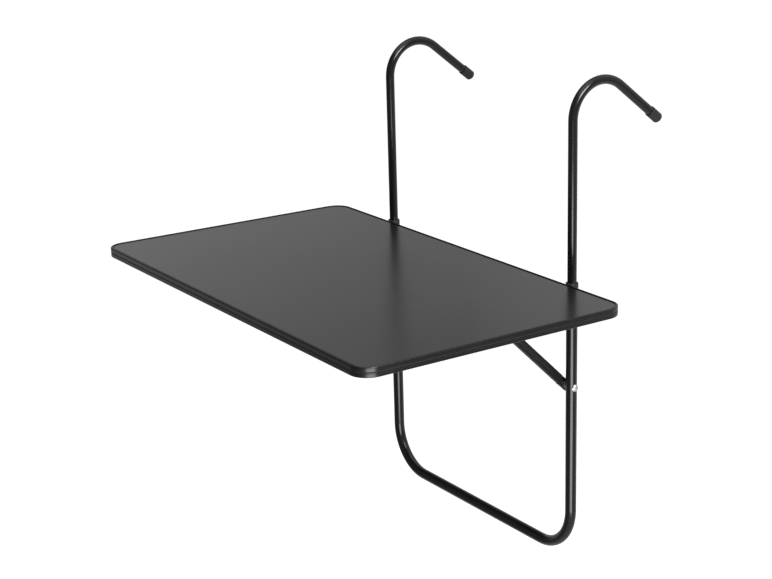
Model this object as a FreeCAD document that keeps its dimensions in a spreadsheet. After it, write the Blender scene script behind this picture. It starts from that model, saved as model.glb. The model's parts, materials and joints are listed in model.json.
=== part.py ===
import FreeCAD, Part
import os
import re
import Sketcher
from FreeCAD import Placement, Rotation, Vector

# A folding table that hangs from a balcony railing.
# X runs along the railing, Y points from the sitter to the railing, Z is up.
# The origin is the point where the railing bears under the two hook bends.

doc = FreeCAD.newDocument("RailTable")

# Driving dimensions, in millimetres and degrees
sizes = {
    # table top, seen from above
    "topWidth": 700,
    "topDepth": 409,
    "cornerRadius": 26,
    "panelThickness": 12,
    "bandWidth": 5,
    "bandHeight": 14,
    "bandLip": 1,
    "lipWidth": 2.2,
    "bandRounding": 1.6,
    "faceRadius": 14,
    "faceRelief": 0.15,
    "grooveDepth": 0.7,
    "grooveHeight": 0.8,
    # hooks and their travel in the frame
    "railToTop": 266,
    "hookSpacing": 439,
    "hookTube": 13,
    "hookWall": 1,
    "hookBend": 51,
    "hookSweep": 128,
    "hookReach": 87,
    "hookInsertion": 105,
    "capDiameter": 15.4,
    "capGrip": 19,
    "capEnd": 4,
    "capDome": 9,
    "capRounding": 2,
    # frame
    "frameTube": 16,
    "frameWall": 1,
    "frameDrop": 404,
    "frameBend": 68,
    "setback": 15,
    "tubeTopDrop": 5,
    # collars over and in the tops of the frame tube
    "collarDiameter": 17.8,
    "collarTop": 4,
    "collarSkirt": 10,
    "collarSleeve": 12,
    "collarRounding": 1.3,
    "runningGap": 0.05,
    # snap buttons and their holes
    "buttonDiameter": 5.8,
    "buttonProud": 3,
    "buttonHead": 3.8,
    "headSeat": 3.6,
    "headThickness": 1,
    "buttonDome": 3.6,
    "holeGap": 0.2,
    "firstHole": 30,
    "holePitch": 25,
    "springStrip": 0.6,
    "springWidth": 5,
    "springTop": 9,
    "springKnee": 8,
    "springDrop": 34,
    "springBack": 4.7,
    # hinge of the top
    "barrelDiameter": 12,
    "barrelLength": 23.4,
    "weldDepth": 0.8,
    "hingeDrop": 13,
    "earGap": 24,
    "earRadius": 8,
    "earReach": 46,
    "earNose": 4,
    "bracketPlate": 2,
    "bracketFront": 52,
    "bracketBend": 1.5,
    # braces
    "bracePivotDrop": 148,
    "braceRise": 44.5,
    "braceWidth": 13,
    "braceDepth": 8,
    "braceWall": 1.5,
    "braceClear": 5,
    "braceTongue": 10,
    "braceTail": 6,
    "braceRounding": 1.2,
    "flangeRounding": 5,
    "pivotGap": 0.08,
    "faceGap": 0.3,
    # cross pins and blocks at the upper ends of the braces
    "pinDrop": 10,
    "pinDiameter": 6,
    "pinOverhang": 1,
    "pinChamfer": 0.8,
    "blockLength": 18,
    # receivers under the top
    "receiverPlate": 1.5,
    "receiverPlay": 1.2,
    "receiverFront": 14,
    "receiverRear": 42,
    "jawReach": 6,
    "jawDepth": 7,
    "receiverHeel": 12,
    "slotGap": 0.4,
    "slotFall": 21.5,
    "slotLength": 40,
    # bolts, nuts, washers and screws
    "boltDiameter": 6,
    "boltHead": 10.5,
    "boltHeadHeight": 3.2,
    "boltHeadDome": 6.6,
    "boltGap": 0.2,
    "boltTail": 1,
    "nutFlats": 10,
    "nutHeight": 5,
    "nutRing": 8.4,
    "nutRingHeight": 1,
    "washerDiameter": 12,
    "washerThickness": 1.2,
    "spacerDiameter": 9,
    "screwDiameter": 3.5,
    "screwDepth": 9,
    "screwHead": 7.2,
    "screwHeadHeight": 2.2,
    "screwHeadRounding": 1.6,
    "screwSpread": 12,
    "screwFirst": 20,
    "screwPitch": 22,
    "receiverScrewFirst": 20,
    "receiverScrewPitch": 14,
}

sheet = doc.addObject("Spreadsheet::Sheet", "Sizes")
for row, (alias, size) in enumerate(sizes.items(), 1):
    sheet.set("A%d" % row, alias)
    sheet.set("B%d" % row, str(size))
    sheet.setAlias("B%d" % row, alias)
doc.recompute()


# Formulas over the sheet

def sized(formula):
    """The formula with each size name pointed at its cell."""
    return re.sub(
        r"[A-Za-z]\w*",
        lambda word: "Sizes." + word.group() if word.group() in sizes else word.group(),
        str(formula),
    )


def value(formula):
    """The number that a formula gives with the sheet's present sizes."""
    result = sheet.evalExpression(sized(formula))
    return float(getattr(result, "Value", result))


def bind(item, formulas):
    for name, formula in formulas.items():
        item.setExpression(name, sized(formula))


# Bodies, sketches and features

def new_body(label, x, y, z, rotation=Rotation()):
    body = doc.addObject("PartDesign::Body", label)
    body.Label = label
    body.Placement = Placement(Vector(value(x), value(y), value(z)), rotation)
    bind(body, {"Placement.Base.x": x, "Placement.Base.y": y, "Placement.Base.z": z})
    return body


def facing(side):
    """Turns a piece so that its own Z looks along side times X, and its own X looks up."""
    towards_minus = Rotation(Vector(0, 1, 0), -90)
    return towards_minus if side < 0 else Rotation(Vector(0, 0, 1), 180) * towards_minus


def new_sketch(body, plane, lift="0"):
    sketch = body.newObject("Sketcher::SketchObject", body.Label + "_sketch")
    support = next(item for item in body.Origin.OriginFeatures if item.Role == plane)
    sketch.AttachmentSupport = (support, "")
    sketch.MapMode = "FlatFace"
    bind(sketch, {"AttachmentOffset.Base.z": lift})
    return sketch


def constrain(sketch, kind, *arguments, formula):
    index = sketch.addConstraint(Sketcher.Constraint(kind, *arguments, value(formula)))
    bind(sketch, {"Constraints[%d]" % index: formula})


def circle(sketch, radius, x="0", y="0"):
    centre = Vector(value(x), value(y), 0)
    edge = sketch.addGeometry(Part.Circle(centre, Vector(0, 0, 1), value(radius)), False)
    constrain(sketch, "Radius", edge, formula=radius)
    constrain(sketch, "DistanceX", -1, 1, edge, 3, formula=x)
    constrain(sketch, "DistanceY", -1, 1, edge, 3, formula=y)


def arc_between(start, end, radius):
    """A minor arc, with its centre left of the way from start to end if radius is positive."""
    chord = end - start
    left = Vector(-chord.y, chord.x, 0).normalize()
    rise = max(radius * radius - chord.Length ** 2 / 4, 0) ** 0.5
    centre = (start + end) / 2 + left * (rise if radius > 0 else -rise)
    first, last = (start, end) if radius > 0 else (end, start)
    angles = [(point - centre).getAngle(Vector(1, 0, 0)) for point in (first, last)]
    for number, point in enumerate((first, last)):
        if point.y < centre.y:
            angles[number] = -angles[number]
    whole = Part.Circle(centre, Vector(0, 0, 1), abs(radius))
    return Part.ArcOfCircle(whole, angles[0], angles[1])


def outline(sketch, corners, closed=True):
    """Lines and arcs through corners, each (x, y) or (x, y, radius of the arc that leaves it)."""
    count = len(corners)
    points = [Vector(value(corner[0]), value(corner[1]), 0) for corner in corners]
    previous = None
    first = None
    for number in range(count if closed else count - 1):
        corner = corners[number]
        start, end = points[number], points[(number + 1) % count]
        if len(corner) == 3:
            radius = value(corner[2])
            edge = sketch.addGeometry(arc_between(start, end, radius), False)
            constrain(sketch, "Radius", edge, formula="abs(%s)" % corner[2])
            ends = (1, 2) if radius > 0 else (2, 1)
        else:
            edge = sketch.addGeometry(Part.LineSegment(start, end), False)
            ends = (1, 2)
        if previous:
            sketch.addConstraint(Sketcher.Constraint("Coincident", *previous, edge, ends[0]))
        constrain(sketch, "DistanceX", -1, 1, edge, ends[0], formula=corner[0])
        constrain(sketch, "DistanceY", -1, 1, edge, ends[0], formula=corner[1])
        previous = (edge, ends[1])
        first = first or (edge, ends[0])
    if closed:
        sketch.addConstraint(Sketcher.Constraint("Coincident", *previous, *first))
    else:
        constrain(sketch, "DistanceX", -1, 1, *previous, formula=corners[-1][0])
        constrain(sketch, "DistanceY", -1, 1, *previous, formula=corners[-1][1])


def pad(body, sketch, length, side="One side", reverse=False):
    feature = body.newObject("PartDesign::Pad", body.Label + "_pad")
    feature.Profile = sketch
    feature.SideType = side
    feature.Reversed = reverse
    bind(feature, {"Length": length})
    doc.recompute()
    return feature


def pocket(body, sketch, length=None, side="One side", reverse=False):
    """Cuts by a length, or through all, and makes sure that material went."""
    before = body.Shape.Volume
    feature = body.newObject("PartDesign::Pocket", body.Label + "_pocket")
    feature.Profile = sketch
    feature.SideType = side
    feature.Reversed = reverse
    if length:
        bind(feature, {"Length": length})
    else:
        feature.Type = "ThroughAll"
    doc.recompute()
    if body.Shape.Volume > before - 0.01:
        raise RuntimeError("a pocket of %s cuts nothing" % body.Label)
    return feature


def turn(body, sketch):
    """Revolves a profile about the sketch's upright axis."""
    feature = body.newObject("PartDesign::Revolution", body.Label + "_turned")
    feature.Profile = sketch
    feature.ReferenceAxis = (sketch, ["V_Axis"])
    feature.Angle = 360
    doc.recompute()
    return feature


def sweep(body, section, spine):
    feature = body.newObject("PartDesign::AdditivePipe", body.Label + "_swept")
    feature.Profile = section
    feature.Spine = (spine, ["Edge%d" % (number + 1) for number in range(len(spine.Shape.Edges))])
    feature.Transition = "Right corner"
    doc.recompute()
    return feature


def repeat(body, feature, axis, length, count):
    """Copies a feature along one of the body's own axes."""
    pattern = body.newObject("PartDesign::LinearPattern", body.Label + "_row")
    direction = next(item for item in body.Origin.OriginFeatures if item.Role == axis)
    pattern.Originals = [feature]
    pattern.Direction = (direction, [""])
    pattern.Reversed = True
    bind(pattern, {"Length": length})
    pattern.Occurrences = count
    body.Tip = pattern
    doc.recompute()
    return pattern


def mirror(body, features):
    """Mirrors features across the middle plane between left and right."""
    copy = body.newObject("PartDesign::Mirrored", body.Label + "_mirrored")
    plane = next(item for item in body.Origin.OriginFeatures if item.Role == "YZ_Plane")
    copy.Originals = features
    copy.MirrorPlane = (plane, [""])
    body.Tip = copy
    doc.recompute()
    return copy


def round_edges(body, radius, chosen):
    """Rounds the edges for which chosen gives True."""
    base = body.Tip
    names = ["Edge%d" % (n + 1) for n, edge in enumerate(base.Shape.Edges) if chosen(edge)]
    if not names:
        raise RuntimeError("no edge to round on %s" % body.Label)
    fillet = body.newObject("PartDesign::Fillet", body.Label + "_fillet")
    fillet.Base = (base, names)
    bind(fillet, {"Radius": radius})
    doc.recompute()
    return fillet


def runs_along(edge, direction):
    """True for a straight edge along a direction."""
    return isinstance(edge.Curve, Part.Line) and abs(edge.Curve.Direction.dot(direction)) > 0.999


def near(number, formula):
    return abs(number - value(formula)) < 0.01


sides = {"left": -1, "right": 1}

# Levels and places that several pieces share
upright_x = "hookSpacing / 2"
upright_y = "-hookBend"
rear_edge_y = "-hookBend - setback"
under_panel = "-railToTop - panelThickness"
frame_top = "-railToTop - tubeTopDrop"
bend_start = "-(hookBend - hookTube / 2)"
hinge_offset = "(frameTube / 2 + barrelDiameter / 2 - weldDepth)"
hinge_y = "-hookBend - %s" % hinge_offset
hinge_z = "-railToTop - panelThickness - hingeDrop"
pivot_z = "-railToTop - tubeTopDrop - bracePivotDrop"
brace_climb = "(tubeTopDrop + bracePivotDrop - panelThickness - pinDrop)"
brace_length = "(%s / sin(braceRise))" % brace_climb
pin_y = "-hookBend - %s / tan(braceRise)" % brace_climb
pin_z = "-railToTop - panelThickness - pinDrop"
brace_back = "(frameTube / 2 + braceClear + braceDepth)"
brace_middle_x = "(hookSpacing / 2 - %s + braceDepth / 2)" % brace_back
button_drop = "(firstHole + holePitch)"


# Hooks

def hook_tube(name, side):
    body = new_body(name + "_hook_tube", "%d * %s" % (side, upright_x), upright_y, bend_start)
    drop = "(railToTop + tubeTopDrop + hookInsertion - hookBend + hookTube / 2)"
    turn_y = "hookBend * (1 - cos(hookSweep))"
    turn_z = "hookBend * sin(hookSweep)"
    spine = new_sketch(body, "YZ_Plane")
    outline(spine, [
        ("0", "-" + drop),
        ("0", "0", "-hookBend"),
        (turn_y, turn_z),
        (turn_y + " + hookReach * sin(hookSweep)", turn_z + " + hookReach * cos(hookSweep)"),
    ], closed=False)
    section = new_sketch(body, "XY_Plane", "-" + drop)
    circle(section, "hookTube / 2")
    circle(section, "hookTube / 2 - hookWall")
    doc.recompute()
    sweep(body, section, spine)
    hole = new_sketch(body, "YZ_Plane")
    hole_z = "-(railToTop + tubeTopDrop - hookBend + hookTube / 2 + %s)" % button_drop
    circle(hole, "buttonDiameter / 2 + holeGap", "0", hole_z)
    pocket(body, hole, "hookTube", reverse=side < 0)


def hook_cap(name, side):
    end_y = "-hookBend + hookBend * (1 - cos(hookSweep)) + hookReach * sin(hookSweep)"
    end_z = bend_start + " + hookBend * sin(hookSweep) + hookReach * cos(hookSweep)"
    tilt = Rotation(Vector(1, 0, 0), -value("hookSweep"))
    body = new_body(name + "_hook_cap", "%d * %s" % (side, upright_x), end_y, end_z, tilt)
    profile = new_sketch(body, "XZ_Plane")
    shoulder = "capEnd - capDome + sqrt(capDome * capDome - capDiameter * capDiameter / 4)"
    outline(profile, [
        ("hookTube / 2", "-capGrip"),
        ("capDiameter / 2", "-capGrip"),
        ("capDiameter / 2", shoulder, "capDome"),
        ("0", "capEnd"),
        ("0", "0"),
        ("hookTube / 2", "0"),
    ])
    turn(body, profile)
    round_edges(body, "capRounding", lambda edge: near(edge.BoundBox.ZMin, shoulder)
                and near(edge.BoundBox.XMax, "capDiameter / 2") and near(edge.BoundBox.ZMax, shoulder))
    round_edges(body, "capRounding / 3", lambda edge: near(edge.BoundBox.ZMax, "-capGrip")
                and near(edge.BoundBox.XMax, "capDiameter / 2"))


def button_place(side):
    return ("%d * %s" % (side, upright_x), upright_y, frame_top + " - " + button_drop, facing(-side))


def snap_button(name, side):
    body = new_body(name + "_snap_button", *button_place(side))
    tip = "frameTube / 2 + buttonProud"
    sagitta = "(buttonDome - sqrt(buttonDome * buttonDome - buttonDiameter * buttonDiameter / 4))"
    shoulder = "%s - %s" % (tip, sagitta)
    profile = new_sketch(body, "XZ_Plane")
    outline(profile, [
        ("0", "headSeat - headThickness"),
        ("buttonHead", "headSeat - headThickness"),
        ("buttonHead", "headSeat"),
        ("buttonDiameter / 2", "headSeat"),
        ("buttonDiameter / 2", shoulder, "buttonDome"),
        ("0", tip),
    ])
    turn(body, profile)


def button_spring(name, side):
    """A folded strip inside the hook tube that pushes the button out."""
    body = new_body(name + "_button_spring", *button_place(side))
    front = "headSeat - headThickness"
    back = "-springBack"
    fold = "(%s - springBack) / 2" % front
    profile = new_sketch(body, "XZ_Plane")
    outline(profile, [
        ("springTop", front),
        ("-springKnee", front),
        ("-springDrop", fold + " + springStrip"),
        ("-springDrop", fold + " - springStrip"),
        ("-springKnee", back),
        ("springTop", back),
        ("springTop", back + " + springStrip"),
        ("-springKnee", back + " + springStrip"),
        ("-springDrop + 2 * springStrip", fold),
        ("-springKnee", front + " - springStrip"),
        ("springTop", front + " - springStrip"),
    ])
    pad(body, profile, "springWidth", "Symmetric")


# Frame

def frame_tube():
    body = new_body("frame_tube", "0", upright_y, frame_top)
    spine = new_sketch(body, "XZ_Plane")
    outline(spine, [
        ("-hookSpacing / 2", "0"),
        ("-hookSpacing / 2", "-frameDrop + frameBend", "frameBend"),
        ("-hookSpacing / 2 + frameBend", "-frameDrop"),
        ("hookSpacing / 2 - frameBend", "-frameDrop", "frameBend"),
        ("hookSpacing / 2", "-frameDrop + frameBend"),
        ("hookSpacing / 2", "0"),
    ], closed=False)
    section = new_sketch(body, "XY_Plane")
    circle(section, "frameTube / 2", "-hookSpacing / 2")
    circle(section, "frameTube / 2 - frameWall", "-hookSpacing / 2")
    doc.recompute()
    sweep(body, section, spine)
    bolt_hole = new_sketch(body, "YZ_Plane")
    circle(bolt_hole, "boltDiameter / 2 + boltGap", "0", "-bracePivotDrop")
    pocket(body, bolt_hole, "2 * hookSpacing", "Symmetric")
    button_hole = new_sketch(body, "YZ_Plane")
    circle(button_hole, "buttonDiameter / 2 + holeGap", "0", "-firstHole")
    first = pocket(body, button_hole, "hookSpacing", "Symmetric")
    repeat(body, first, "Z_Axis", "2 * holePitch", 3)


def collar(name, side):
    """A cap on the frame tube, with a skirt outside it and a sleeve inside that guides the hook."""
    body = new_body(name + "_collar", "%d * %s" % (side, upright_x), upright_y, frame_top)
    inner = "hookTube / 2 + runningGap"
    profile = new_sketch(body, "XZ_Plane")
    outline(profile, [
        (inner, "-collarSleeve"),
        ("frameTube / 2 - frameWall", "-collarSleeve"),
        ("frameTube / 2 - frameWall", "0"),
        ("frameTube / 2", "0"),
        ("frameTube / 2", "-collarSkirt"),
        ("collarDiameter / 2", "-collarSkirt"),
        ("collarDiameter / 2", "collarTop - collarRounding", "collarRounding"),
        ("collarDiameter / 2 - collarRounding", "collarTop"),
        (inner, "collarTop"),
    ])
    turn(body, profile)


def hinge_barrel(name, side):
    """A sleeve welded across the front of an upright, hollowed to sit against it."""
    body = new_body(name + "_hinge_barrel", "%d * %s" % (side, upright_x), hinge_y, hinge_z)
    ring = new_sketch(body, "YZ_Plane")
    circle(ring, "barrelDiameter / 2")
    circle(ring, "boltDiameter / 2 + pivotGap")
    pad(body, ring, "barrelLength", "Symmetric")
    saddle = new_sketch(body, "XY_Plane")
    circle(saddle, "frameTube / 2", "0", hinge_offset)
    pocket(body, saddle, "2 * barrelDiameter", "Symmetric")


# Bolts, nuts and other fasteners, each on an axis across the table

def across(name, side, y, z):
    body = new_body(name, "%d * %s" % (side, upright_x), y, z, facing(side))
    return body


def dome_bolt(name, side, y, z, seat, end):
    """A bolt whose head lies on seat and whose shank ends at end, counted from the upright outwards."""
    body = across(name, side, y, z)
    crown = "%s + boltHeadHeight" % seat
    edge = crown + " - boltHeadDome + sqrt(boltHeadDome * boltHeadDome - boltHead * boltHead / 4)"
    profile = new_sketch(body, "XZ_Plane")
    outline(profile, [
        ("0", end),
        ("boltDiameter / 2 - pinChamfer / 2", end),
        ("boltDiameter / 2", "%s + pinChamfer / 2" % end),
        ("boltDiameter / 2", seat),
        ("boltHead / 2", seat),
        ("boltHead / 2", edge, "boltHeadDome"),
        ("0", crown),
    ])
    turn(body, profile)


def lock_nut(name, side, y, z, seat):
    """A hexagon nut with a locking ring on its outer end."""
    body = across(name, side, y, z)
    hexagon = new_sketch(body, "XY_Plane", seat)
    outline(hexagon, [
        ("nutFlats / 2 / cos(30) * cos(%d)" % angle, "nutFlats / 2 / cos(30) * sin(%d)" % angle)
        for angle in range(0, 360, 60)
    ])
    pad(body, hexagon, "nutHeight", reverse=True)
    ring = new_sketch(body, "XY_Plane", "%s - nutHeight" % seat)
    circle(ring, "nutRing / 2")
    pad(body, ring, "nutRingHeight", reverse=True)
    bore = new_sketch(body, "XY_Plane", seat)
    circle(bore, "boltDiameter / 2")
    pocket(body, bore, "nutHeight + nutRingHeight")


def ring_piece(name, side, y, z, start, length, outer, inner):
    """A spacer or washer that runs inwards from start."""
    body = across(name, side, y, z)
    ring = new_sketch(body, "XY_Plane", start)
    circle(ring, outer)
    circle(ring, inner)
    pad(body, ring, length, reverse=True)


def brace_pivot(name, side):
    place = (side, upright_y, pivot_z)
    web_front = "(%s - braceWall)" % brace_back
    washer_seat = "-%s - faceGap" % brace_back
    nut_seat = washer_seat + " - washerThickness"
    bolt_end = nut_seat + " - nutHeight - nutRingHeight - boltTail"
    dome_bolt(name + "_brace_bolt", *place, "frameTube / 2", bolt_end)
    ring_piece(name + "_brace_spacer", *place, "-frameTube / 2", "%s - faceGap - frameTube / 2" % web_front,
               "spacerDiameter / 2", "boltDiameter / 2")
    ring_piece(name + "_brace_washer", *place, washer_seat, "washerThickness",
               "washerDiameter / 2", "boltDiameter / 2")
    lock_nut(name + "_brace_nut", *place, nut_seat)


def top_hinge_fasteners(name, side):
    place = (side, hinge_y, hinge_z)
    ear_face = "(earGap / 2 + bracketPlate)"
    nut_end = "-%s - nutHeight - nutRingHeight - boltTail" % ear_face
    dome_bolt(name + "_hinge_bolt", *place, ear_face, nut_end)
    lock_nut(name + "_hinge_nut", *place, "-" + ear_face)


# Table top

def top_panel():
    body = new_body("top_panel", "0", rear_edge_y, "-railToTop")
    half = "topWidth / 2 - bandWidth"
    slab = new_sketch(body, "XY_Plane")
    outline(slab, [
        ("-(%s)" % half, "-topDepth + bandWidth"),
        (half, "-topDepth + bandWidth"),
        (half, "-bandWidth"),
        ("-(%s)" % half, "-bandWidth"),
    ])
    pad(body, slab, "panelThickness", reverse=True)
    round_edges(body, "cornerRadius - bandWidth", lambda edge: runs_along(edge, Vector(0, 0, 1)))
    pilots = new_sketch(body, "XY_Plane", "-panelThickness")
    for x, y in screw_places("hinge") + screw_places("receiver"):
        circle(pilots, "screwDiameter / 2", x, "%s + hookBend + setback" % y)
    pilot_holes = pocket(body, pilots, "screwDepth", reverse=True)
    mirror(body, [pilot_holes])


def edge_band():
    """The band around the panel: a low lip over the top and a face with a fine groove along it."""
    body = new_body("edge_band", "0", rear_edge_y, "-railToTop")
    half = "topWidth / 2 - bandWidth"
    inner_radius = "cornerRadius - bandWidth"
    front = "-topDepth + bandWidth"
    spine = new_sketch(body, "XY_Plane")
    outline(spine, [
        ("0", "-bandWidth"),
        ("-(%s) + %s" % (half, inner_radius), "-bandWidth", inner_radius),
        ("-(%s)" % half, "-bandWidth - (%s)" % inner_radius),
        ("-(%s)" % half, "%s + %s" % (front, inner_radius), inner_radius),
        ("-(%s) + %s" % (half, inner_radius), front),
        ("%s - (%s)" % (half, inner_radius), front, inner_radius),
        (half, "%s + %s" % (front, inner_radius)),
        (half, "-bandWidth - (%s)" % inner_radius, inner_radius),
        ("%s - (%s)" % (half, inner_radius), "-bandWidth"),
    ])
    bottom = "bandLip - bandHeight"
    middle = "bandLip - bandHeight / 2"
    section = new_sketch(body, "YZ_Plane")
    outline(section, [
        ("-bandWidth", bottom),
        ("-faceRelief - bandRounding", bottom, "bandRounding"),
        ("-faceRelief", bottom + " + bandRounding", "faceRadius"),
        ("-grooveDepth", "%s - grooveHeight / 2" % middle),
        ("-grooveDepth", "%s + grooveHeight / 2" % middle, "faceRadius"),
        ("-faceRelief", "bandLip - bandRounding", "bandRounding"),
        ("-faceRelief - bandRounding", "bandLip"),
        ("-bandWidth + lipWidth", "bandLip"),
        ("-bandWidth", "0"),
    ])
    doc.recompute()
    sweep(body, section, spine)


def screw_places(kind):
    """Right-hand screw centres, as formulas for x and y."""
    if kind == "hinge":
        return [
            (
                "hookSpacing / 2 + %d * screwSpread / 2" % column,
                "%s - screwFirst - %d * screwPitch" % (hinge_y, row),
            )
            for column in (-1, 1) for row in (0, 1)
        ]
    return [
        (brace_middle_x, "%s + receiverScrewFirst + %d * receiverScrewPitch" % (pin_y, row))
        for row in (0, 1)
    ]


def hinge_bracket(name, side):
    """A channel under the panel whose two ears take the hinge bolt."""
    body = new_body(name + "_hinge_bracket", "%d * %s" % (side, upright_x), hinge_y, hinge_z)
    plate_rear = "%s - setback - bandWidth - faceGap" % hinge_offset
    plate_low = "hingeDrop - bracketPlate"
    ears = new_sketch(body, "YZ_Plane")
    outline(ears, [
        ("0", "-earRadius", "earRadius"),
        ("earRadius", "0", "earRadius"),
        ("0", "earRadius"),
        (plate_rear, plate_low),
        (plate_rear, "hingeDrop"),
        ("-bracketFront", "hingeDrop"),
        ("-bracketFront", plate_low),
        ("-earReach", "hingeDrop - bracketPlate - earNose"),
    ])
    pad(body, ears, "earGap + 2 * bracketPlate", "Symmetric")
    gap = new_sketch(body, "YZ_Plane")
    outline(gap, [
        ("-bracketFront - 1", "-2 * earRadius"),
        ("2 * earRadius", "-2 * earRadius"),
        ("2 * earRadius", plate_low),
        ("-bracketFront - 1", plate_low),
    ])
    pocket(body, gap, "earGap", "Symmetric")
    bolt_hole = new_sketch(body, "YZ_Plane")
    circle(bolt_hole, "boltDiameter / 2")
    pocket(body, bolt_hole, "2 * earGap", "Symmetric")
    holes = new_sketch(body, "XY_Plane", "hingeDrop")
    for x, y in screw_places("hinge"):
        circle(holes, "screwDiameter / 2", "%s - hookSpacing / 2" % x, "%s - (%s)" % (y, hinge_y))
    pocket(body, holes, "2 * bracketPlate")
    long_edges = lambda edge: (runs_along(edge, Vector(0, 1, 0)) and near(edge.BoundBox.ZMax, "hingeDrop")
                               and near(abs(edge.BoundBox.Center.x), "earGap / 2 + bracketPlate"))
    round_edges(body, "bracketBend", long_edges)


def receiver(name, side):
    """A channel under the panel whose slotted sides hold the cross pin of a brace."""
    body = new_body(name + "_brace_receiver", "%d * %s" % (side, brace_middle_x), pin_y, pin_z)
    inner = "(braceDepth + 2 * receiverPlay)"
    plate_low = "pinDrop - receiverPlate"
    walls = new_sketch(body, "YZ_Plane")
    outline(walls, [
        ("-receiverFront", "pinDrop"),
        ("-receiverFront", "0"),
        ("-jawReach", "-jawDepth"),
        ("receiverHeel", "-jawDepth"),
        ("receiverRear", plate_low + " - receiverPlate"),
        ("receiverRear", "pinDrop"),
    ])
    pad(body, walls, "%s + 2 * receiverPlate" % inner, "Symmetric")
    gap = new_sketch(body, "YZ_Plane")
    outline(gap, [
        ("-receiverFront - 1", "-2 * jawDepth"),
        ("receiverRear + 1", "-2 * jawDepth"),
        ("receiverRear + 1", plate_low),
        ("-receiverFront - 1", plate_low),
    ])
    pocket(body, gap, inner, "Symmetric")
    slot = new_sketch(body, "YZ_Plane")
    radius = "(pinDiameter / 2 + slotGap)"
    along = ("-slotLength * cos(slotFall)", "-slotLength * sin(slotFall)")
    upper = ("-%s * sin(slotFall)" % radius, "%s * cos(slotFall)" % radius)
    lower = ("%s * sin(slotFall)" % radius, "-%s * cos(slotFall)" % radius)
    outline(slot, [
        (lower[0], lower[1], radius),
        ("%s * cos(slotFall)" % radius, "%s * sin(slotFall)" % radius, radius),
        (upper[0], upper[1]),
        (upper[0] + " + " + along[0], upper[1] + " + " + along[1]),
        (lower[0] + " + " + along[0], lower[1] + " + " + along[1]),
    ])
    pocket(body, slot, "2 * %s" % inner, "Symmetric")
    holes = new_sketch(body, "XY_Plane", "pinDrop")
    for x, y in screw_places("receiver"):
        circle(holes, "screwDiameter / 2", "0", "%s - (%s)" % (y, pin_y))
    pocket(body, holes, "2 * receiverPlate")


def screws(label, kind, plate):
    """Pan head screws that hold the plates of both sides, as one group of separate solids."""
    body = new_body(label, "0", "0", "%s - %s" % (under_panel, plate))
    body.AllowCompound = True
    heads = new_sketch(body, "XY_Plane")
    shanks = new_sketch(body, "XY_Plane")
    for x, y in screw_places(kind):
        for side in sides.values():
            circle(heads, "screwHead / 2", "%d * (%s)" % (side, x), y)
            circle(shanks, "screwDiameter / 2", "%d * (%s)" % (side, x), y)
    pad(body, heads, "screwHeadHeight", reverse=True)
    round_edges(body, "screwHeadRounding", lambda edge: near(edge.BoundBox.ZMax, "-screwHeadHeight"))
    pad(body, shanks, "screwDepth + %s" % plate)


# Braces

def brace_place(side):
    lean = Rotation(Vector(1, 0, 0), 90 - value("braceRise"))
    return ("%d * (hookSpacing / 2 - %s)" % (side, brace_back), upright_y, pivot_z, lean * facing(side))


def brace(name, side):
    """A pressed channel, open outwards, with a flat rounded tongue at each end."""
    body = new_body(name + "_brace", *brace_place(side))
    half = "braceWidth / 2"
    web = new_sketch(body, "XY_Plane")
    outline(web, [
        ("-braceTail", "-" + half),
        (brace_length, "-" + half, half),
        ("%s + %s" % (brace_length, half), "0", half),
        (brace_length, half),
        ("-braceTail", half, half),
        ("-braceTail - " + half, "0", half),
    ])
    pad(body, web, "braceWall")
    flanges = new_sketch(body, "XY_Plane")
    for sign in (-1, 1):
        outline(flanges, [
            ("braceTongue", "%d * %s" % (sign, half)),
            ("%s - braceTongue" % brace_length, "%d * %s" % (sign, half)),
            ("%s - braceTongue" % brace_length, "%d * (%s - braceWall)" % (sign, half)),
            ("braceTongue", "%d * (%s - braceWall)" % (sign, half)),
        ])
    pad(body, flanges, "braceDepth")
    holes = new_sketch(body, "XY_Plane", "braceWall")
    circle(holes, "boltDiameter / 2 + pivotGap")
    circle(holes, "pinDiameter / 2", brace_length)
    pocket(body, holes, "2 * braceWall")
    round_edges(body, "flangeRounding", lambda edge: runs_along(edge, Vector(0, 1, 0))
                and near(edge.BoundBox.ZMin, "braceDepth"))
    round_edges(body, "braceRounding", lambda edge: near(edge.BoundBox.ZMax, "0")
                and edge.BoundBox.YLength + edge.BoundBox.XLength > 2 * value("boltDiameter"))


def brace_pin(name, side):
    body = new_body(name + "_brace_pin", *brace_place(side))
    reach = "(receiverPlay + receiverPlate + pinOverhang)"
    rod = new_sketch(body, "XY_Plane", "-" + reach)
    circle(rod, "pinDiameter / 2", brace_length)
    pad(body, rod, "braceDepth + 2 * %s" % reach)
    round_edges(body, "pinChamfer", lambda edge: edge.BoundBox.ZLength < 0.01)


def brace_block(name, side):
    """The block that fills the end of the channel around the cross pin."""
    body = new_body(name + "_brace_block", *brace_place(side))
    half = "(braceWidth / 2 - braceWall)"
    block = new_sketch(body, "XY_Plane", "braceWall")
    outline(block, [
        ("%s - blockLength" % brace_length, "-" + half),
        (brace_length, "-" + half, half),
        ("%s + %s" % (brace_length, half), "0", half),
        (brace_length, half),
        ("%s - blockLength" % brace_length, half),
    ])
    pad(body, block, "braceDepth - braceWall")
    bore = new_sketch(body, "XY_Plane", "braceDepth")
    circle(bore, "pinDiameter / 2", brace_length)
    pocket(body, bore, "braceDepth")


for name, side in sides.items():
    hook_tube(name, side)
    hook_cap(name, side)
    snap_button(name, side)
    button_spring(name, side)
    collar(name, side)
    hinge_barrel(name, side)
    brace_pivot(name, side)
    hinge_bracket(name, side)
    top_hinge_fasteners(name, side)
    receiver(name, side)
    brace(name, side)
    brace_pin(name, side)
    brace_block(name, side)
frame_tube()
top_panel()
edge_band()
screws("hinge_screws", "hinge", "bracketPlate")
screws("receiver_screws", "receiver", "receiverPlate")

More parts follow.
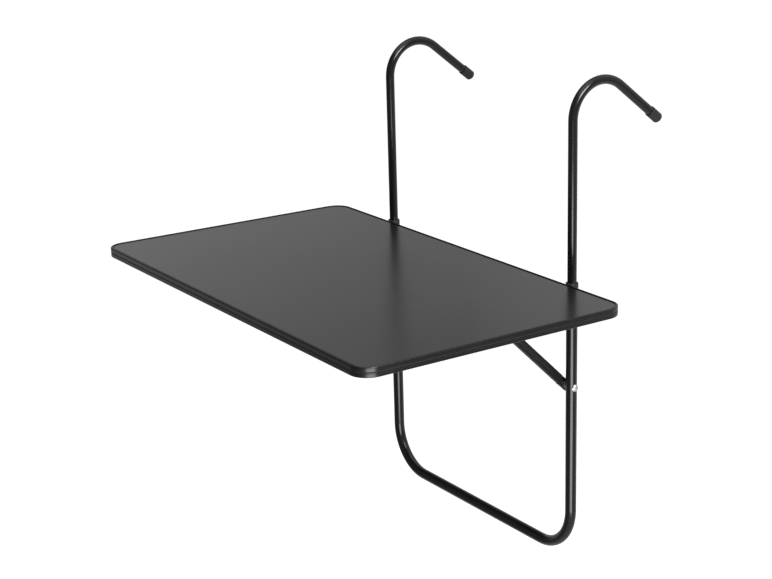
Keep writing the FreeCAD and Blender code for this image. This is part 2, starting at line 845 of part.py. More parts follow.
doc.recompute()
for item in doc.Objects:
    if "Invalid" in item.State or "Error" in item.State:
        raise RuntimeError("%s failed: %s" % (item.Label, item.State))
pieces = [item for item in doc.Objects if item.TypeId == "PartDesign::Body"]
for item in pieces:
    if item.Shape.isNull() or not item.Shape.isValid():
        raise RuntimeError("%s has no valid shape" % item.Label)

os.makedirs("parts", exist_ok=True)
for item in pieces:
    item.Shape.exportStep(os.path.join("parts", item.Label + ".step"))
    print("%-24s %8.2f cm3" % (item.Label, item.Shape.Volume / 1000))
print(len(pieces), "pieces")
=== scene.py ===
import bpy
import json
import math
from mathutils import Matrix, Vector


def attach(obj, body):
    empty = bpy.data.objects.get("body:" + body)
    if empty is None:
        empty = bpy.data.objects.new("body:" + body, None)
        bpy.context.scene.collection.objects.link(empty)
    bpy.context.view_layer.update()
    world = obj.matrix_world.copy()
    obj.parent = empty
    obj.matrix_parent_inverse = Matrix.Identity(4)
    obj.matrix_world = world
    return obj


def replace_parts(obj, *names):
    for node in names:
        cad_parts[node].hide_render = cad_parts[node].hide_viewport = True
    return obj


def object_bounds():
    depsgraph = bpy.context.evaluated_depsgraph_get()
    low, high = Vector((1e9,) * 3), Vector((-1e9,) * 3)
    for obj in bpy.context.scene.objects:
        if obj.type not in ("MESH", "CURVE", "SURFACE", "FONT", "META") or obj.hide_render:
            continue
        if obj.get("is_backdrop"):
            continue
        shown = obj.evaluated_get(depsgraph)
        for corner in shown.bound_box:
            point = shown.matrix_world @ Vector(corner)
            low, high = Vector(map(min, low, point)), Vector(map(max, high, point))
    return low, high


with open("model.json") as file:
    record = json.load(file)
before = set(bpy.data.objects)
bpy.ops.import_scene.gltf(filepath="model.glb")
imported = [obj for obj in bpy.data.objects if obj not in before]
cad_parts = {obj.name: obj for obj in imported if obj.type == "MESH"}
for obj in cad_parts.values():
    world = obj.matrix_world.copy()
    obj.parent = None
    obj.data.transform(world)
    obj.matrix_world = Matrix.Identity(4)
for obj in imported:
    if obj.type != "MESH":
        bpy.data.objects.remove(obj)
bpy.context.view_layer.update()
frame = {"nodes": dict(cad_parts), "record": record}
nodes = frame["nodes"]

mm = 0.001  # small sizes are easier to read in millimetres


# helpers for node trees
def feed(tree, socket, value):
    # links another node's output, and sets anything else
    if isinstance(value, bpy.types.NodeSocket):
        tree.links.new(value, socket)
    else:
        socket.default_value = value


def newMaterial(name, whole):
    # whole is what is the same all over, set on the shader's own sockets
    material = bpy.data.materials.new(name)
    material.use_nodes = True
    shader = material.node_tree.nodes["Principled BSDF"]
    for socket, value in whole.items():
        shader.inputs[socket].default_value = value
    return material, material.node_tree, shader


def addSurface(tree, shader, colour, rough, normal):
    for socket, output in (("Base Color", colour), ("Roughness", rough), ("Normal", normal)):
        tree.links.new(output, shader.inputs[socket])


def addNode(tree, kind, label, **settings):
    node = tree.nodes.new(kind)
    node.label = label
    for key, value in settings.items():
        if key in node.inputs:
            node.inputs[key].default_value = value
        else:
            setattr(node, key, value)
    return node


def objectPlace(tree):
    # object coordinates are metres in the table's own frame, so patterns keep their real size
    return addNode(tree, "ShaderNodeTexCoord", "place").outputs["Object"]


def heightOf(tree, place):
    node = addNode(tree, "ShaderNodeSeparateXYZ", "height")
    tree.links.new(place, node.inputs["Vector"])
    return node.outputs["Z"]


def noise(tree, place, label, size, detail=3.0, roughness=0.5):
    # size is the width of one blotch in metres
    node = addNode(tree, "ShaderNodeTexNoise", label, Scale=1 / size, Detail=detail, Roughness=roughness)
    tree.links.new(place, node.inputs["Vector"])
    return node.outputs["Fac"]


def ramp(tree, value, label, low, high, start=0.3, end=0.7):
    # spreads the part of a pattern from start to end between two numbers or two colours
    if isinstance(low, tuple):
        node = addNode(tree, "ShaderNodeValToRGB", label)
        for stop, position, colour in zip(node.color_ramp.elements, (start, end), (low, high)):
            stop.position, stop.color = position, colour + (1,)
        tree.links.new(value, node.inputs["Fac"])
        return node.outputs["Color"]
    node = addNode(tree, "ShaderNodeMapRange", label)
    for socket, number in zip(("From Min", "From Max", "To Min", "To Max"), (start, end, low, high)):
        node.inputs[socket].default_value = number
    tree.links.new(value, node.inputs["Value"])
    return node.outputs["Result"]


def bump(tree, height, label, depth, under=None):
    # depth is the height of the pattern in metres
    node = addNode(tree, "ShaderNodeBump", label, Distance=depth)
    tree.links.new(height, node.inputs["Height"])
    if under is not None:
        tree.links.new(under, node.inputs["Normal"])
    return node.outputs["Normal"]


def mixed(tree, kind, label, factor, first, second):
    node = addNode(tree, "ShaderNodeMix", label, data_type=kind)
    for socket, value in (("Factor", factor), ("A", first), ("B", second)):
        feed(tree, node.inputs[socket], value)
    return node.outputs["Result"]


def calculated(tree, operation, label, *values):
    node = addNode(tree, "ShaderNodeMath", label, operation=operation)
    for socket, value in zip(node.inputs, values):
        feed(tree, socket, value)
    return node.outputs["Value"]


# black powder coats: gloss on the tubes, satin on the braces
coatGrain = {"patch": 45 * mm, "peel": 1.6 * mm, "speck": 0.35 * mm, "speckDepth": 0.003 * mm}
glossCoat = {
    "thin": (0.004, 0.004, 0.0043),
    "thick": (0.007, 0.007, 0.0073),
    "rough": (0.13, 0.19),
    "peelDepth": 0.016 * mm,
}
satinCoat = {
    "thin": (0.014, 0.014, 0.0145),
    "thick": (0.024, 0.024, 0.0245),
    "rough": (0.42, 0.54),
    "peelDepth": 0.05 * mm,
}


def blackPowderCoat(name, coat):
    # a soft orange peel, with fine dust-sized specks in the gloss
    material, tree, shader = newMaterial(name, {"IOR": 1.5})
    place = objectPlace(tree)
    patches = noise(tree, place, "coat patches", coatGrain["patch"])
    peel = noise(tree, place, "orange peel", coatGrain["peel"], detail=1.0)
    specks = noise(tree, place, "specks", coatGrain["speck"], detail=2.0)
    colour = ramp(tree, patches, "coat colour", coat["thin"], coat["thick"])
    gloss = ramp(tree, specks, "gloss", *coat["rough"])
    coarse = bump(tree, peel, "peel", coat["peelDepth"])
    fine = bump(tree, specks, "fine peel", coatGrain["speckDepth"], under=coarse)
    addSurface(tree, shader, colour, gloss, fine)
    return material


laminate = {
    "topColour": ((0.0085, 0.0085, 0.0088), (0.0115, 0.0115, 0.0119)),
    "backColour": ((0.020, 0.019, 0.018), (0.034, 0.032, 0.030)),
    "topRough": (0.22, 0.27),
    "backRough": (0.60, 0.72),
    "backBelow": -277 * mm,
    "cloud": 120 * mm,
    "fibre": 4 * mm,
    "grain": 0.7 * mm,
    "grainDepth": 0.005 * mm,
}


def tableLaminate():
    # charcoal laminate with a fine pearl grain on top, and plain backing paper underneath
    material, tree, shader = newMaterial("tableLaminate", {"IOR": 1.5})
    place = objectPlace(tree)
    cloud = noise(tree, place, "cloud", laminate["cloud"], detail=2.0)
    fibre = noise(tree, place, "paper fibre", laminate["fibre"], detail=6.0, roughness=0.7)
    pearl = noise(tree, place, "pearl grain", laminate["grain"], detail=2.0)
    isTop = calculated(tree, "GREATER_THAN", "top or back", heightOf(tree, place), laminate["backBelow"])
    backing = ramp(tree, fibre, "backing", *laminate["backColour"])
    top = ramp(tree, cloud, "laminate", *laminate["topColour"])
    dull = ramp(tree, fibre, "dull paper", *laminate["backRough"])
    gloss = ramp(tree, pearl, "gloss", *laminate["topRough"])
    colour = mixed(tree, "RGBA", "colour", isTop, backing, top)
    rough = mixed(tree, "FLOAT", "roughness", isTop, dull, gloss)
    addSurface(tree, shader, colour, rough, bump(tree, pearl, "grain", laminate["grainDepth"]))
    return material


moulding = {
    "colour": ((0.0035, 0.0035, 0.0037), (0.0065, 0.0065, 0.0068)),
    "rough": (0.25, 0.33),
    "patch": 60 * mm,
    "line": 0.5 * mm,
    "lineDepth": 0.004 * mm,
    "lineStretch": (0.05, 0.05, 1),
    "grooveRough": 0.8,
    "grooveHeight": -272 * mm,
    "grooveHalf": 0.75 * mm,
}


def edgeMoulding():
    # extruded black plastic, with fine lines drawn along it by the die, and matt in its groove
    material, tree, shader = newMaterial("edgeMoulding", {"IOR": 1.5})
    place = objectPlace(tree)
    drawn = addNode(tree, "ShaderNodeMapping", "drawn along", Scale=moulding["lineStretch"])
    tree.links.new(place, drawn.inputs["Vector"])
    lines = noise(tree, drawn.outputs["Vector"], "die lines", moulding["line"], detail=2.0)
    patches = noise(tree, place, "patches", moulding["patch"], detail=2.0)
    middle, half = moulding["grooveHeight"], moulding["grooveHalf"]
    inGroove = calculated(tree, "COMPARE", "in the groove", heightOf(tree, place), middle, half)
    colour = ramp(tree, patches, "colour", *moulding["colour"])
    gloss = ramp(tree, lines, "gloss", *moulding["rough"])
    rough = mixed(tree, "FLOAT", "roughness", inGroove, gloss, moulding["grooveRough"])
    addSurface(tree, shader, colour, rough, bump(tree, lines, "lines", moulding["lineDepth"]))
    return material


plasticGrain = {"patch": 9 * mm, "depth": 0.015 * mm, "darkest": 0.7, "roughSpread": 0.07}
capPlastic = {"colour": (0.014, 0.014, 0.015), "rough": 0.5, "grain": 0.3 * mm}
blockNylon = {"colour": (0.020, 0.020, 0.020), "rough": 0.45, "grain": 0.5 * mm}


def mouldedPlastic(name, plastic):
    # matt injection moulding with a spark-eroded grain
    material, tree, shader = newMaterial(name, {"IOR": 1.48})
    place = objectPlace(tree)
    texture = noise(tree, place, "eroded grain", plastic["grain"], roughness=0.6)
    patches = noise(tree, place, "patches", plasticGrain["patch"], detail=2.0)
    darker = tuple(plasticGrain["darkest"] * part for part in plastic["colour"])
    colour = ramp(tree, patches, "colour", darker, plastic["colour"])
    rough, spread = plastic["rough"], plasticGrain["roughSpread"]
    gloss = ramp(tree, texture, "gloss", rough - spread, rough + spread)
    addSurface(tree, shader, colour, gloss, bump(tree, texture, "grain", plasticGrain["depth"]))
    return material


zinc = {
    "tint": ((0.60, 0.61, 0.63), (0.70, 0.69, 0.64)),
    "tintPatch": 5 * mm,
    "rough": (0.34, 0.50),
    "scuff": 0.4 * mm,
    "scuffDepth": 0.004 * mm,
}


def zincPlate():
    # bright zinc, bluish and straw in patches, with faint scuffs
    material, tree, shader = newMaterial("zincPlate", {"Metallic": 1.0})
    place = objectPlace(tree)
    patches = noise(tree, place, "passivation", zinc["tintPatch"])
    scuffs = noise(tree, place, "scuffs", zinc["scuff"], detail=4.0, roughness=0.7)
    tint = ramp(tree, patches, "tint", *zinc["tint"])
    polish = ramp(tree, scuffs, "polish", *zinc["rough"])
    addSurface(tree, shader, tint, polish, bump(tree, scuffs, "scuffs", zinc["scuffDepth"]))
    return material


finishes = {
    "black_steel": blackPowderCoat("glossBlackCoat", glossCoat),
    "brace_steel": blackPowderCoat("satinBlackCoat", satinCoat),
    "top_laminate": tableLaminate(),
    "band_plastic": edgeMoulding(),
    "cap_plastic": mouldedPlastic("capPlastic", capPlastic),
    "block_nylon": mouldedPlastic("blockNylon", blockNylon),
    "zinc_steel": zincPlate(),
}

for part in frame["record"]["subparts"]:
    node = nodes[part["node"]]
    node.data.materials.clear()
    node.data.materials.append(finishes[part["material_slot"]])
print("materials on the nodes:", len(finishes))


# helpers for meshes: points are millimetres in the table's own frame
def inScene(name, data):
    added = bpy.data.objects.new(name, data)
    bpy.context.scene.collection.objects.link(added)
    return added


def addPiece(name, points, faces, slot, body, sharp):
    mesh = bpy.data.meshes.new(name)
    mesh.from_pydata([Vector(point) * mm for point in points], [], faces)
    mesh.materials.append(finishes[slot])
    mesh.shade_smooth()
    mesh.set_sharp_from_angle(angle=math.radians(sharp))
    piece = inScene(name, mesh)
    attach(piece, body)
    return piece


def joined(parts):
    points, faces = [], []
    for somePoints, someFaces in parts:
        faces += [tuple(len(points) + corner for corner in face) for face in someFaces]
        points += somePoints
    return points, faces


def swept(sections, isRing):
    # skins sections of equally many points, in a closed ring or with a face on each end
    count = len(sections[0])
    points, faces = [point for section in sections for point in section], []
    for k in range(len(sections) if isRing else len(sections) - 1):
        a, b = k * count, (k + 1) % len(sections) * count
        for edge in range(count):
            after = (edge + 1) % count
            faces.append((a + edge, b + edge, b + after, a + after))
    if not isRing:
        faces.append(tuple(range(count)))
        faces.append(tuple(reversed(range(len(points) - count, len(points)))))
    return points, faces


def turned(profile, steps, place, dip):
    # turns a profile of (radius, height) that starts and ends on the axis, and dips what is over 0
    def put(x, y, height):
        return place((x, y, height + (dip(x, y) if height > 0 else 0)))

    points, faces = [put(0, 0, profile[0][1])], []
    for radius, height in profile[1:-1]:
        for k in range(steps):
            angle = 2 * math.pi * k / steps
            points.append(put(radius * math.cos(angle), radius * math.sin(angle), height))
    points.append(put(0, 0, profile[-1][1]))
    last, lastRing = len(points) - 1, len(profile) - 3
    for k in range(steps):
        after = (k + 1) % steps
        faces.append((0, 1 + after, 1 + k))
        for ring in range(lastRing):
            a, b = 1 + ring * steps, 1 + (ring + 1) * steps
            faces.append((a + k, a + after, b + after, b + k))
        a = 1 + lastRing * steps
        faces.append((a + k, a + after, last))
    return points, faces


# the edge band: a bead that stands over the board, a face with a shallow groove, one butt joint behind
edgeBand = {
    "halfWidth": 350.0,
    "rear": -66.0,
    "front": -475.0,
    "corner": 26.0,
    "cornerSteps": 28,
    "board": -266.0,
    "thickness": 13.0,
    "inner": 5.0,
    "relief": 0.15,
    "lowerRounding": (1.5, 8),  # radius and steps, as in the other roundings
    "upperRounding": (1.5, 10),
    "innerRounding": (0.9, 8),
    "beadHeight": 1.0,
    "crest": 0.5,
    "gapDepth": 0.35,
    "groove": (-6.0, 0.75, 0.36, 6),  # middle from the board's top, half its height, depth, half its steps
    "joint": (12.0, 0.12),  # place along the rear, half its gap
}


def bandSection():
    # pairs of how far out, measured from the outermost line, and how high over the board
    face = -edgeBand["relief"]
    bottom, bead = -edgeBand["thickness"], edgeBand["beadHeight"]
    section = [(-edgeBand["inner"], bottom)]

    def rounding(u, z, radius, steps, start):
        for k in range(steps + 1):
            angle = math.radians(start + 90 * k / steps)
            section.append((u + radius * math.cos(angle), z + radius * math.sin(angle)))

    radius, steps = edgeBand["lowerRounding"]
    rounding(face - radius, radius + bottom, radius, steps, -90)
    middle, half, depth, steps = edgeBand["groove"]
    for k in range(-steps, steps + 1):
        dip = depth * (0.5 + 0.5 * math.cos(math.pi * k / steps))
        section.append((face - dip, middle + half * k / steps))
    radius, steps = edgeBand["upperRounding"]
    rounding(face - radius, bead - radius, radius, steps, 0)
    inside = face - radius - edgeBand["crest"]
    radius, steps = edgeBand["innerRounding"]
    rounding(inside, bead - radius, radius, steps, 90)
    section.append((inside - radius, -edgeBand["gapDepth"]))
    section.append((-edgeBand["inner"], -edgeBand["gapDepth"]))
    return section


def bandExtrusion():
    section = bandSection()
    corner, steps, board = edgeBand["corner"], edgeBand["cornerSteps"], edgeBand["board"]
    side, rear = edgeBand["halfWidth"] - corner, edgeBand["rear"] - corner
    front = edgeBand["front"] + corner
    place, gap = edgeBand["joint"]
    # each stop is a corner's centre and the direction from it
    stops = [(place - gap, rear, 90)]
    for x, y, start in ((-side, rear, 90), (-side, front, 180), (side, front, 270), (side, rear, 0)):
        stops += [(x, y, start + 90 * k / steps) for k in range(steps + 1)]
    stops.append((place + gap, rear, 90))
    sections = []
    for x, y, angle in stops:
        c, s = math.cos(math.radians(angle)), math.sin(math.radians(angle))
        sections.append([(x + (corner + u) * c, y + (corner + u) * s, board + z) for u, z in section])
    return swept(sections, isRing=False)


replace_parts(addPiece("bandExtrusion", *bandExtrusion(), "band_plastic", "table_top", sharp=50), "edge_band")
print("edge band made")


# pan head screws with a cross recess
screws = {
    "head": 7.2,
    "headHeight": 2.2,
    "rounding": (1.6, 6),  # radius and steps
    "rimBevel": 0.1,
    "underHead": 0.01,
    "flatSteps": 18,
    "shank": 3.5,
    "point": ((0.6, 0.2), 2.4),  # its blunt end's radius and height, then where the shank is full
    "steps": 72,
    "tip": -269,
    "armWidth": 0.95,
    "armLength": 3.6,
    "armEdge": 0.08,
    "armSlope": 0.5,
    "recess": 0.9,
    "centreRecess": 1.5,
    "centreRadius": 0.95,
    "centreSlope": 0.7,
    "turns": (0.5, 1.7, 0.9),  # radians: the first, more for each place, more or less for each side
    "groups": {
        # node: the plate's face, then the screws' places on the right-hand side
        "hinge_screws": (-280, [(213.5, -84.2), (213.5, -106.2), (225.5, -84.2), (225.5, -106.2)]),
        "receiver_screws": (-279.5, [(202.5, -164.305), (202.5, -150.305)]),
    },
}


def clamped(value):
    return min(max(value, 0), 1)


def crossRecess(turn):
    def depth(x, y):
        u = x * math.cos(turn) + y * math.sin(turn)
        v = y * math.cos(turn) - x * math.sin(turn)
        edge, deepest = screws["armEdge"], 0
        for along, aside in ((abs(u), abs(v)), (abs(v), abs(u))):
            side = clamped((screws["armWidth"] / 2 + edge - aside) / (2 * edge))
            end = clamped((screws["armLength"] / 2 - along) / screws["armSlope"])
            deepest = max(deepest, screws["recess"] * side * end)
        middle = clamped((screws["centreRadius"] - math.hypot(u, v)) / screws["centreSlope"])
        return -max(deepest, screws["centreRecess"] * middle)
    return depth


def panHeadScrew(x, y, face, turn):
    radius, height, shank = screws["head"] / 2, screws["headHeight"], screws["shank"] / 2
    rounding, steps = screws["rounding"]
    (bluntRadius, bluntHeight), full = screws["point"]
    bottom, under, bevel = face - screws["tip"], -screws["underHead"], screws["rimBevel"]
    profile = [(0, bottom), (bluntRadius, bottom + bluntHeight), (shank, bottom + full), (shank, under)]
    profile += [(radius - bevel, under), (radius, bevel), (radius, height - rounding)]
    flat = radius - rounding
    for k in range(1, steps + 1):
        out, up = rounding * math.cos(math.pi / 2 * k / steps), rounding * math.sin(math.pi / 2 * k / steps)
        profile.append((flat + out, height - rounding + up))
    flatSteps = screws["flatSteps"]
    profile += [(flat * (1 - k / flatSteps), height) for k in range(1, flatSteps)] + [(0, height)]
    # a screw points up into the board: its head's height is measured down from the plate's face
    return turned(profile, screws["steps"], lambda p: (x + p[0], y - p[1], face - p[2]), crossRecess(turn))


first, each, aside = screws["turns"]
for node, (face, places) in screws["groups"].items():
    made = []
    for k, (x, y) in enumerate(places):
        for side in (-1, 1):
            made.append(panHeadScrew(side * x, y, face, first + each * k + aside * side))
    piece = addPiece("crossHead_" + node, *joined(made), "zinc_steel", "table_top", sharp=30)
    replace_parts(piece, node)
print("screws made:", sum(2 * len(places) for face, places in screws["groups"].values()))


# nylon rings in the lock nuts
rings = {
    "inner": 3.05,
    "outer": 3.75,
    "proud": 0.18,
    "deep": 0.7,
    "innerEdge": (0.15, 0.4),  # how wide it is, and where it starts as a share of proud
    "outerEdge": (0.2, 0.2),
    "steps": 48,
    "nuts": {
        # body: the middle of the right-hand nut's end, which faces the table's middle
        "frame": (191.0, -51.0, -419.0),
        "table_top": (199.5, -64.2, -291.0),
    },
}


def nylonRing(side, x, y, z):
    inner, outer, proud, deep = (rings[key] for key in ("inner", "outer", "proud", "deep"))
    (innerWidth, innerStart), (outerWidth, outerStart) = rings["innerEdge"], rings["outerEdge"]
    section = [(inner, deep), (inner, -proud * innerStart), (inner + innerWidth, -proud)]
    section += [(outer - outerWidth, -proud), (outer, -proud * outerStart), (outer, deep)]
    sections = []
    for k in range(rings["steps"]):
        angle = 2 * math.pi * k / rings["steps"]
        c, s = math.cos(angle), math.sin(angle)
        sections.append([(side * (x + depth), y + radius * c, z + radius * s) for radius, depth in section])
    points, faces = swept(sections, isRing=True)
    return points, [face if side > 0 else face[::-1] for face in faces]


for body, place in rings["nuts"].items():
    made = joined([nylonRing(-1, *place), nylonRing(1, *place)])
    addPiece("nylonRings_" + body, *made, "block_nylon", body, sharp=60)


# the welds that hold the hinge barrels
welds = {
    "upright": (219.5, -51.0),
    "uprightRadius": 8.0,
    "height": -291.0,
    "across": 4.1,
    "upward": 3.7,
    "bead": 1.35,
    "beadFlat": 0.8,
    "sunk": 0.2,
    "ripple": (15, 0.10),  # how many, how strong
    "wave": (4, 0.05),
    "steps": 120,
    "around": 10,
}


def weldBead(side):
    # a closed bead round the place where a barrel meets its upright
    uprightX, uprightY = welds["upright"]
    ripples, rippleSize = welds["ripple"]
    waves, waveSize = welds["wave"]
    forwards = Vector((0, -1, 0))
    sections = []
    for k in range(welds["steps"]):
        angle = 2 * math.pi * k / welds["steps"]
        x, z = welds["across"] * math.cos(angle), welds["upward"] * math.sin(angle)
        y = uprightY - math.sqrt(welds["uprightRadius"] ** 2 - x * x)
        outwards = Vector((math.cos(angle), 0, math.sin(angle)))
        uneven = 1 + rippleSize * math.cos(ripples * angle) + waveSize * math.sin(waves * angle + side)
        reach = welds["bead"] * uneven
        section = []
        for j in range(welds["around"]):
            turn = 2 * math.pi * j / welds["around"]
            point = Vector((x, y - welds["sunk"], z)) + outwards * reach * math.cos(turn)
            point += forwards * reach * welds["beadFlat"] * math.sin(turn)
            section.append((side * uprightX + point.x, point.y, welds["height"] + point.z))
        sections.append(section)
    return swept(sections, isRing=True)


addPiece("hingeWelds", *joined([weldBead(-1), weldBead(1)]), "black_steel", "frame", sharp=80)
print("nut rings and welds made")


# the braces' flanges, carried on past their pivots behind the uprights
flangeEnds = {
    "pivot": (198.5, -51.0, -419.0),
    "rise": 44.5,
    "halfWidth": 6.5,
    "wall": 1.5,
    "depth": 8.0,
    "start": 10.0,
    "end": -9.5,
    "nose": (3.0, 8),  # radius and steps
    "insideWeb": 0.3,
}


def flangeEnd(side):
    # a flat plate on each side of the pivot, with a rounded nose
    rise = math.radians(flangeEnds["rise"])
    along = Vector((0, -math.cos(rise), math.sin(rise)))
    across = Vector((0, math.sin(rise), math.cos(rise)))
    outwards = Vector((side, 0, 0))
    x, y, z = flangeEnds["pivot"]
    base = Vector((side * x, y, z))
    start, end, depth = flangeEnds["start"], flangeEnds["end"], flangeEnds["depth"]
    wall, halfWidth = flangeEnds["wall"], flangeEnds["halfWidth"]
    nose, steps = flangeEnds["nose"]
    web = wall - flangeEnds["insideWeb"]
    outline = [(start, web), (start, depth)]
    for k in range(steps + 1):
        angle = math.pi / 2 * k / steps
        outline.append((end + nose - nose * math.sin(angle), depth - nose + nose * math.cos(angle)))
    outline.append((end, web))
    parts = []
    for upper in (-1, 1):
        sections = []
        for offset in (halfWidth - wall, halfWidth):
            moved = across * (upper * offset)
            sections.append([base + along * length + moved + outwards * out for length, out in outline])
        points, faces = swept(sections, isRing=False)
        if side * upper > 0:
            faces = [face[::-1] for face in faces]
        parts.append((points, faces))
    return joined(parts)


for side, body in ((-1, "left_strut"), (1, "right_strut")):
    addPiece("flangeEnds_" + body, *flangeEnd(side), "brace_steel", body, sharp=40)
print("brace ends made")


# studio, in metres: a white room, which gloss sees dimmer, and dark in front on the left, as behind cards
studio = {
    "middle": Vector((0, -0.27, -0.27)),
    "diffuse": 0.45,
    # pairs of height, from -1 straight down to 1 straight up, and strength in gloss
    "glossByHeight": ((-0.5, 0.62), (-0.25, 0.44), (0.08, 0.27), (0.3, 0.32), (1.0, 0.70)),
    "patches": {
        # name: azimuth and elevation, how near it starts and ends (cosines), strength there, strength added
        "dark cards": (-25, 4, 0.30, 0.77, 0.15, 0),
        "dark corner": (-82, 39, 0.84, 0.95, 0.06, 0),
        "bright wall": (-104, 10, 0.93, 0.99, None, 0.42),
        "rear wall": (180, 5, 0.45, 0.72, None, 0.25),
        "bright behind": (-137, 14, 0.97, 0.995, None, 0.10),
        "dim above": (-121, 27, 0.975, 0.996, None, -0.14),
        "pale left": (-75, -12, 0.955, 0.995, None, 0.36),
        "dim right": (126, -25, 0.970, 0.992, 0.22, 0),
    },
    "floorBelow": 0.55,
    "floorSize": 30,
    "floorRough": 0.9,
    "floorGrey": (0.8, 0.8, 0.8, 1),
    "floorGlow": (0.68, 0.68, 0.68, 1),
}


def direction(azimuth, elevation):
    # azimuth 0 is in front of the table, 90 to its right
    a, e = math.radians(azimuth), math.radians(elevation)
    return Vector((math.sin(a) * math.cos(e), -math.cos(a) * math.cos(e), math.sin(e)))


def cameraOrGlass(tree, path):
    # 1 where the camera sees something straight or through glass
    straight, through = path.outputs["Is Camera Ray"], path.outputs["Is Transmission Ray"]
    return calculated(tree, "MAXIMUM", "camera or glass", straight, through)


def glossStrength(tree):
    sky = addNode(tree, "ShaderNodeTexCoord", "direction").outputs["Generated"]
    level = ramp(tree, heightOf(tree, sky), "height as 0 to 1", 0.0, 1.0, start=-1.0, end=1.0)
    steps = addNode(tree, "ShaderNodeValToRGB", "gloss by height")
    stops = steps.color_ramp.elements
    while len(stops) < len(studio["glossByHeight"]):
        stops.new(0.5)
    for stop, (z, value) in zip(stops, studio["glossByHeight"]):
        stop.position, stop.color = (z + 1) / 2, (value, value, value, 1)
    tree.links.new(level, steps.inputs["Fac"])
    gloss = calculated(tree, "ADD", "gloss", steps.outputs["Color"], 0.0)
    for name, (azimuth, elevation, start, end, there, added) in studio["patches"].items():
        aim = addNode(tree, "ShaderNodeVectorMath", name, operation="DOT_PRODUCT")
        tree.links.new(sky, aim.inputs[0])
        aim.inputs[1].default_value = direction(azimuth, elevation)
        near = aim.outputs["Value"]
        if there is None:
            gloss = calculated(tree, "ADD", name, gloss, ramp(tree, near, name, 0.0, added, start, end))
        else:
            gloss = mixed(tree, "FLOAT", name, ramp(tree, near, name, 0.0, 1.0, start, end), gloss, there)
    return gloss


def whiteRoom():
    world = bpy.data.worlds.new("room")
    bpy.context.scene.world = world
    world.use_nodes = True
    tree = world.node_tree
    background = tree.nodes["Background"]
    background.inputs["Color"].default_value = (1, 1, 1, 1)
    path = addNode(tree, "ShaderNodeLightPath", "what sees it")
    clear, glossy = cameraOrGlass(tree, path), path.outputs["Is Glossy Ray"]
    inGloss = calculated(tree, "MULTIPLY", "seen in gloss only", glossy, glossStrength(tree))
    either = calculated(tree, "MAXIMUM", "seen", clear, inGloss)
    isSeen = calculated(tree, "MAXIMUM", "any of them", clear, glossy)
    strength = mixed(tree, "FLOAT", "strength", isSeen, studio["diffuse"], either)
    tree.links.new(strength, background.inputs["Strength"])


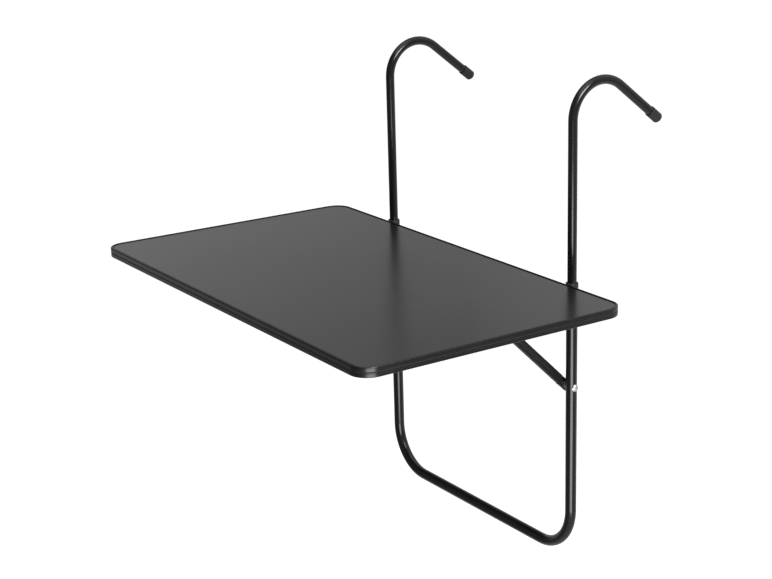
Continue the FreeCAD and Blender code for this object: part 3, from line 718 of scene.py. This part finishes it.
def paleFloor():
    # white to the camera, with the shadow on it, and seen only from above
    half = studio["floorSize"] / 2
    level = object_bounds()[0].z - studio["floorBelow"]
    mesh = bpy.data.meshes.new("floor")
    corners = [(-half, -half, level), (half, -half, level), (half, half, level), (-half, half, level)]
    mesh.from_pydata(corners, [], [(0, 1, 2, 3)])
    floor = inScene("floor", mesh)
    floor.visible_glossy = False
    plain = {"Roughness": studio["floorRough"], "Base Color": studio["floorGrey"], "Specular IOR Level": 0}
    material, tree, shader = newMaterial("paleFloor", plain)
    path = addNode(tree, "ShaderNodeLightPath", "what sees the floor")
    glow = addNode(tree, "ShaderNodeEmission", "white where seen", Color=studio["floorGlow"])
    both = addNode(tree, "ShaderNodeAddShader", "shaded and white")
    oneSided = addNode(tree, "ShaderNodeMixShader", "only from above")
    below = addNode(tree, "ShaderNodeNewGeometry", "seen from below")
    nothing = addNode(tree, "ShaderNodeBsdfTransparent", "nothing")
    for output, socket in (
        (cameraOrGlass(tree, path), glow.inputs["Strength"]),
        (shader.outputs["BSDF"], both.inputs[0]),
        (glow.outputs["Emission"], both.inputs[1]),
        (below.outputs["Backfacing"], oneSided.inputs["Fac"]),
        (both.outputs["Shader"], oneSided.inputs[1]),
        (nothing.outputs["BSDF"], oneSided.inputs[2]),
        (oneSided.outputs["Shader"], tree.nodes["Material Output"].inputs["Surface"]),
    ):
        tree.links.new(output, socket)
    mesh.materials.append(material)
    floor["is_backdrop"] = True


lamps = {
    # name: azimuth, elevation and distance from the table's middle, width, height, watts
    "lowBox": (69, -22.9, 1.303, 0.76, 0.77, 10.7),
    "keyBox": (92, 36, 2.12, 0.95, 0.75, 30),
    "overhead": (20, 82, 2.60, 2.00, 2.00, 12),
}


def softLamps():
    for name, (azimuth, elevation, distance, width, height, watts) in lamps.items():
        light = bpy.data.lights.new(name, "AREA")
        light.shape, light.size, light.size_y, light.energy = "RECTANGLE", width, height, watts
        lamp = inScene(name, light)
        towards = direction(azimuth, elevation)
        lamp.location = studio["middle"] + towards * distance
        lamp.rotation_euler = towards.to_track_quat("Z", "Y").to_euler()
        lamp.visible_camera = False


whiteRoom()
paleFloor()
softLamps()
print("studio ready:", len(lamps), "lamps")


# camera, fitted to the photograph
cameraFit = {
    "azimuth": 52.223,
    "elevation": 17.897,
    "roll": -0.154,
    "distance": 2.3456,
    "across": 0.2678,
    "upward": -0.0576,
    "lens": 79.276,
    "sensor": 36,
    "shift": (-0.1813, 0.0389),
    "farthest": 60,
    "target": Vector((0, -0.29933, -0.266)),
}


def photoCamera():
    azimuth, roll = math.radians(cameraFit["azimuth"]), math.radians(cameraFit["roll"])
    back = direction(cameraFit["azimuth"], cameraFit["elevation"])
    level = Vector((math.cos(azimuth), math.sin(azimuth), 0))
    upright = back.cross(level)
    right = level * math.cos(roll) + upright * math.sin(roll)
    up = upright * math.cos(roll) - level * math.sin(roll)
    place = cameraFit["target"] + back * cameraFit["distance"]
    place = place + right * cameraFit["across"] + up * cameraFit["upward"]
    lens = bpy.data.cameras.new("photoCamera")
    lens.lens, lens.sensor_width = cameraFit["lens"], cameraFit["sensor"]
    lens.shift_x, lens.shift_y = cameraFit["shift"]
    lens.clip_end = cameraFit["farthest"]
    camera = inScene("photoCamera", lens)
    camera.matrix_world = Matrix.Translation(place) @ Matrix((right, up, back)).transposed().to_4x4()
    bpy.context.scene.camera = camera


photoCamera()
bpy.context.scene.view_settings.view_transform = "Standard"
print("camera ready")
